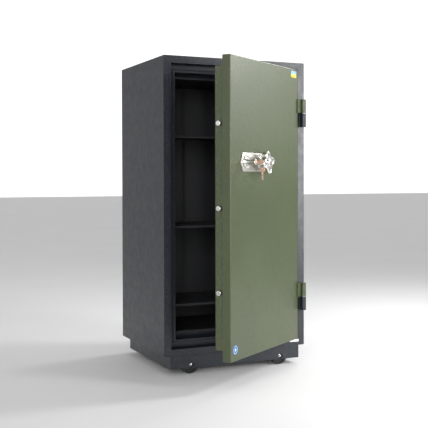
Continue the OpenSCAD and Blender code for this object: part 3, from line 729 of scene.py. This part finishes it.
def make_escutcheon():
    """The six-sided plate, with a raised field inside a bright bevelled margin."""
    low, high = PLATE_BOX
    point = 24 * MM
    middle = centre_of(PLATE_BOX)

    def outline(inset):
        z0, z1 = low.z + inset, high.z - inset
        x0, x1 = low.x + inset * 1.2, high.x - inset * 1.2
        return [(x0, middle.z), (x0 + point, z1), (x1 - point, z1),
                (x1, middle.z), (x1 - point, z0), (x0 + point, z0)]

    def ring(inset, out):
        return [Vector((a, FACE - out, b)) for a, b in outline(inset)]

    thick = FACE - low.y
    margin = thick - 0.9 * MM
    rings = [ring(0, 0), ring(0, thick - 2.2 * MM), ring(0.5 * MM, thick - 1.4 * MM), ring(1.6 * MM, margin),
             ring(5 * MM, margin), ring(5.8 * MM, thick - 0.2 * MM), ring(6.6 * MM, thick)]

    def hole(axis, r):
        profile = [(0, -5 * MM), (r, -5 * MM), (r, 12 * MM), (0, 12 * MM)]
        return lathe(profile, Vector((axis.x, FACE, axis.z)), OUTWARD, 48)

    plate = carve(loft(rings), hole(LOCK_AXIS, LOCK_RADIUS), hole(KNOB_AXIS, 12 * MM))
    piece("escutcheon", plate, SATIN, "door", ["escutcheon_plate"], on_door=True, crease=25)


def make_rosettes():
    """Turned rosette round the lock and turned collar round the spindle."""
    def turned(node, bore, steps):
        low, high = closed_box(node)
        axis = centre_of((low, high))
        base = PLATE_BOX[0].y
        radius = (high.z - low.z) / 2
        profile = [(bore, 0), (radius - 0.8 * MM, 0), (radius, 0.8 * MM)] + steps(radius)
        profile.append((bore, profile[-1][1]))
        return lathe(profile, Vector((axis.x, base, axis.z)), OUTWARD, 80)

    def rosette_steps(radius):
        rise = arc((radius - 2 * MM, 2 * MM), 2 * MM, 0, 80, 4)
        crown = arc((radius - 8 * MM, 4 * MM), 3 * MM, 20, 90, 5)
        return rise + [(radius - 4 * MM, 3.4 * MM)] + crown

    def collar_steps(radius):
        rise = arc((radius - 3 * MM, 3 * MM), 3 * MM, 0, 80, 4)
        crown = arc((radius - 10 * MM, 6 * MM), 4 * MM, 10, 90, 5)
        return rise + [(radius - 5.4 * MM, 5.2 * MM)] + crown

    piece("rosette", turned("lock_rosette", LOCK_RADIUS, rosette_steps), CHROME, "door",
          ["lock_rosette"], on_door=True)
    piece("collar", turned("handle_collar", SHAFT_BORE, collar_steps), CHROME, "door",
          ["handle_collar"], on_door=True)


def make_cylinder():
    """The lock cylinder: turned rings, a chamfered nose and a sunk face round the core."""
    low, high = CYLINDER
    radius = LOCK_RADIUS
    reach = high.y - low.y
    bore, waist, sunk = SHAFT_BORE, radius - 0.7 * MM, reach - 0.6 * MM
    profile = [(bore, 0), (radius, 0), (radius, reach - 16 * MM), (waist, reach - 15.5 * MM),
               (waist, reach - 14.5 * MM), (radius, reach - 14 * MM), (radius, reach - 2 * MM)]
    profile += arc((radius - 2 * MM, reach - 2 * MM), 2 * MM, 0, 90, 5)
    profile += [(radius - 4.5 * MM, reach), (radius - 5 * MM, sunk), (bore + 0.3 * MM, sunk),
                (bore, reach - 0.9 * MM)]
    body = lathe(profile, Vector((LOCK_AXIS.x, high.y, LOCK_AXIS.z)), OUTWARD, 80)
    piece("cylinder_body", body, SATIN, "door", ["lock_cylinder"], on_door=True)


LOBE_TURN = radians(13)
LOBE = 18 * MM
HUB = 33 * MM
KNOB_STEPS = 160
BISECTIONS = 26


def knob_field(x, z, lobe_at):
    """Distance outside the handle's outline, with hollow fillets where lobes and hub meet."""
    soft = 5 * MM
    parts = [sqrt(x * x + z * z) - HUB]
    for i in range(4):
        a, b = lobe_at * sin(i * pi / 2), lobe_at * cos(i * pi / 2)
        parts.append(sqrt((x - a) ** 2 + (z - b) ** 2) - LOBE)
    return -soft * log(sum(exp(-part / soft) for part in parts))


def knob_outline(inset, lobe_at):
    """Radii of the outline, moved inwards by an inset, at even turns from upright."""
    radii = []
    for i in range(KNOB_STEPS):
        t = 2 * pi * i / KNOB_STEPS
        low, high = 0.0, lobe_at + 2 * LOBE
        for _ in range(BISECTIONS):
            middle = (low + high) / 2
            inside = knob_field(middle * sin(t), middle * cos(t), lobe_at) < -inset
            low, high = (middle, high) if inside else (low, middle)
        radii.append(low)
    return radii


def make_knob():
    """The four-lobed handle: fat rounded lobes, a dished face with a raised boss, a waisted neck."""
    radius = (KNOB[1].z - KNOB[0].z) / 2
    lobe_at = (radius - LOBE) / cos(LOBE_TURN)
    back, front = 27 * MM, 54 * MM
    neck, tip = FACE - KNOB[1].y, FACE - KNOB[0].y

    def ring(distance, radii):
        points = []
        for i, r in enumerate(radii):
            t = 2 * pi * i / len(radii) - LOBE_TURN
            points.append(Vector((KNOB_AXIS.x + r * sin(t), FACE - distance, KNOB_AXIS.z + r * cos(t))))
        return points

    def even(r):
        return [r] * KNOB_STEPS

    rings = [ring(neck, even(12 * MM)), ring(neck, even(15 * MM)), ring(neck + 1 * MM, even(16 * MM)),
             ring(neck + 6 * MM, even(13 * MM)), ring(back - 4 * MM, even(13.5 * MM)),
             ring(back - 0.5 * MM, even(16 * MM))]
    rear_fold, front_fold = 5 * MM, 6 * MM
    rings.append(ring(back, [0.7 * r for r in knob_outline(rear_fold, lobe_at)]))
    for inset, out in arc((rear_fold, back + rear_fold), rear_fold, -90, -180, 4):
        rings.append(ring(out, knob_outline(inset, lobe_at)))
    for inset, out in arc((front_fold, front - front_fold), front_fold, 180, 90, 6):
        rings.append(ring(out, knob_outline(inset, lobe_at)))
    brim = knob_outline(front_fold + 1.8 * MM, lobe_at)
    dish = knob_outline(front_fold + 3.5 * MM, lobe_at)
    towards_boss = [0.6 * r + 0.4 * 19 * MM for r in dish]
    rings += [ring(front - 0.7 * MM, brim), ring(front - 1.8 * MM, dish), ring(front - 2 * MM, towards_boss),
              ring(front - 2 * MM, even(18 * MM)), ring(front - 0.5 * MM, even(17.4 * MM))]
    rings += [ring(out, even(r)) for r, out in arc((12.4 * MM, tip - 5 * MM), 5 * MM, 0, 80, 5)]
    rings += [ring(tip, even(9 * MM)), ring(tip, even(3 * MM))]
    piece("lobed_handle", loft(rings), CHROME, "handle", ["handle_knob"], on_door=True, crease=50)


# ---- Keys ----

KEY_BOW = 12 * MM
KEY_EYE = 3 * MM
EYE_FROM_BOW = 7 * MM


def key_mesh(origin, neck, tip, thickness, along, up, across, teeth):
    """A flat key round the centre of its bow. neck and tip are distances down the blade."""
    radius = KEY_BOW
    half_blade = 4 * MM
    shoulder = degrees(atan2(half_blade, sqrt(radius ** 2 - half_blade ** 2)))
    outline = arc((0, 0), radius, 180 - shoulder, -180 + shoulder, 40)
    lower = [(-neck, -half_blade)]
    pitch = (tip - neck) / (teeth + 1)
    for i in range(teeth):
        start = neck + pitch * (i + 0.6)
        depth = (1.2 + 0.9 * ((i * 2) % 3)) * MM
        lower += [(-start, -half_blade), (-start - pitch * 0.3, -half_blade + depth),
                  (-start - pitch * 0.5, -half_blade + depth), (-start - pitch * 0.8, -half_blade)]
    end = [(-tip + 2.5 * MM, -half_blade), (-tip, -half_blade + 2.5 * MM), (-tip, half_blade - 1.5 * MM),
           (-tip + 1.5 * MM, half_blade)]
    outline += lower + end

    def place(a, d, b):
        return origin + along * a + up * b + across * (d - thickness / 2)

    mesh = prism(outline, place, thickness, 0.35 * MM, 2)
    eye = origin + along * EYE_FROM_BOW - across * thickness
    through = 3 * thickness
    return carve(mesh, lathe([(0, 0), (KEY_EYE, 0), (KEY_EYE, through), (0, through)], eye, across, 32))


KEY = closed_box("key")
SPARE = closed_box("spare_key")
RING = closed_box("key_ring")


def make_keys():
    """The key in the lock, its ring, and the spare that hangs from the ring."""
    thickness = KEY[1].x - KEY[0].x
    bow = KEY[0].y + KEY_BOW
    key = key_mesh(Vector((LOCK_AXIS.x, bow, LOCK_AXIS.z)), 16 * MM, KEY[1].y - bow,
                   thickness, OUTWARD, UP, EAST, 5)
    piece("key_in_lock", key, BRASS, "key", ["key"], on_door=True)

    middle = centre_of(SPARE)
    bow_z = SPARE[1].z - KEY_BOW
    spare = key_mesh(Vector((middle.x, middle.y, bow_z)), 14 * MM, bow_z - SPARE[0].z,
                     thickness, UP, OUTWARD, EAST, 5)
    piece("hanging_spare_key", spare, BRASS, "key_ring", ["spare_key"], on_door=True)

    hub = centre_of(RING)
    wire = 0.48 * MM
    radius = (RING[1].z - RING[0].z) / 2 - 1 * MM
    turns, steps = 2, 96
    round_wire = [pi * k / 5 for k in range(10)]
    rings = []
    for i in range(turns * steps + 1):
        t = 2 * pi * i / steps + pi / 3
        shift = (i / (turns * steps) - 0.5) * 2 * wire
        outward = EAST * cos(t) + UP * sin(t)
        spot = hub + outward * radius + NORTH * shift
        rings.append([spot + wire * (outward * cos(a) + NORTH * sin(a)) for a in round_wire])
    piece("split_ring", loft(rings), STEEL, "key_ring", ["key_ring"], on_door=True)


# ---- Stage, light and camera ----

def make_stage():
    """A plain pale floor."""
    material, nodes, links, shader = new_material("studio_floor")
    pale = ramp(nodes, links, noise(nodes, links, 1.2, 2), [(0.3, (0.79,)), (0.7, (0.81,))])
    links.new(pale, shader.inputs["Base Color"])
    shader.inputs["Roughness"].default_value = 0.7
    data = bpy.data.meshes.new("floor")
    half = 40
    corners = [(-half, -half, 0), (half, -half, 0), (half, half, 0), (-half, half, 0)]
    data.from_pydata(corners, [], [(0, 1, 2, 3)])
    floor = bpy.data.objects.new("floor", data)
    bpy.context.scene.collection.objects.link(floor)
    data.materials.append(material)


def compass(degrees_round, rise=0.0):
    """The direction of a compass turn from +Y towards +X."""
    turn = radians(degrees_round)
    return Vector((sin(turn), cos(turn), rise)).normalized()


# Where the tent glows: direction, cosine where the glow starts, cosine where it is full, strength.
GLOWS = {
    "overhead": (UP, 0.75, 0.97, 1.00),
    "backdrop": (compass(25), 0.80, 0.93, 1.10),
    "behind_left": (compass(-25, 0.05), 0.72, 0.95, 0.30),
    "left": (compass(-80, 0.05), 0.72, 0.95, 0.90),
    "front_left": (compass(-148, 0.1), 0.90, 0.98, 8.00),
}
DIMMEST = 0.13


def make_world():
    """A dim tent with a few broad soft glows, so that every face has its own tone to mirror."""
    world = bpy.data.worlds.new("studio")
    bpy.context.scene.world = world
    world.use_nodes = True
    nodes, links = world.node_tree.nodes, world.node_tree.links
    where = nodes.new("ShaderNodeTexCoord")
    total = None
    for direction, start, full, strength in GLOWS.values():
        facing = nodes.new("ShaderNodeVectorMath")
        facing.operation = "DOT_PRODUCT"
        facing.inputs[1].default_value = direction
        links.new(where.outputs["Generated"], facing.inputs[0])
        glow = nodes.new("ShaderNodeMapRange")
        glow.interpolation_type = "SMOOTHSTEP"
        glow.inputs["From Min"].default_value = start
        glow.inputs["From Max"].default_value = full
        glow.inputs["To Min"].default_value = 0
        glow.inputs["To Max"].default_value = strength
        links.new(facing.outputs["Value"], glow.inputs["Value"])
        added = nodes.new("ShaderNodeMath")
        added.operation = "ADD"
        added.inputs[1].default_value = DIMMEST
        if total is not None:
            links.new(total, added.inputs[1])
        links.new(glow.outputs["Result"], added.inputs[0])
        total = added.outputs[0]
    links.new(total, nodes["Background"].inputs["Strength"])
    nodes["Background"].inputs["Color"].default_value = (1, 1, 1, 1)


def area_light(name, place, target, size, radiance):
    """A softbox of a given radiance, so that its reflection keeps its tone whatever its size."""
    data = bpy.data.lights.new(name, "AREA")
    data.shape = "RECTANGLE"
    data.size, data.size_y = size
    data.energy = radiance * pi * size[0] * size[1]
    light = bpy.data.objects.new(name, data)
    light.location = place
    light.rotation_euler = (Vector(target) - Vector(place)).to_track_quat("-Z", "Y").to_euler()
    bpy.context.scene.collection.objects.link(light)


def make_lights():
    area_light("right_wall", (3.2, -0.3, 1.9), (0, -0.3, 1.2), (1.2, 1.6), 2.4)
    area_light("door_corner", (3.2, -0.7, 2.5), (0, -0.3, 1.3), (0.7, 0.8), 38)
    area_light("top_edge", (2.13, 1.19, 2.9), (0, -0.3, 1.4), (0.9, 0.9), 12)
    area_light("front_strip", (1.75, -2.6, 1.25), (0.36, 0, 0.9), (0.5, 1.5), 22)
    area_light("right_strip", (2.39, -2.73, 1.1), (0.36, -0.12, 0.9), (0.25, 1.7), 15)


CAMERA_FROM_CORNER = Vector((-1.417, -3.736, 0.826))
CAMERA_YAW, CAMERA_PITCH, CAMERA_ROLL = radians(25.09), radians(1.22), radians(-0.10)
CAMERA_LENS = 72.85
CAMERA_SHIFT = (-0.0354, -0.0397)


def make_camera():
    """The viewing angle: in front of the casing's left half, a little above its middle."""
    data = bpy.data.cameras.new("camera")
    data.lens = CAMERA_LENS
    data.sensor_width = 36
    data.shift_x, data.shift_y = CAMERA_SHIFT
    camera = bpy.data.objects.new("camera", data)
    bpy.context.scene.collection.objects.link(camera)
    level = cos(CAMERA_PITCH)
    look = Vector((sin(CAMERA_YAW) * level, cos(CAMERA_YAW) * level, -sin(CAMERA_PITCH)))
    roll = Matrix.Rotation(-CAMERA_ROLL, 3, look).to_quaternion()
    camera.rotation_mode = "QUATERNION"
    camera.rotation_quaternion = roll @ look.to_track_quat("-Z", "Y")
    camera.location = SHELL[0] + CAMERA_FROM_CORNER
    bpy.context.scene.camera = camera


bpy.context.scene.view_settings.view_transform = "Standard"
make_camera()
make_stage()
make_world()
make_lights()
dress_cad_nodes()

make_casing()
make_frame()
make_seal()
for shelf_name in ("shelf_lower", "shelf_middle", "shelf_upper"):
    make_shelf(shelf_name)
make_badge()
make_plinth()
make_rollers()
make_axles()
make_body_knuckles()
make_door_knuckles()
make_leaf()
make_plug()
make_cover_screws()
make_bolts()
make_labels()
make_escutcheon()
make_rosettes()
make_cylinder()
make_knob()
make_keys()
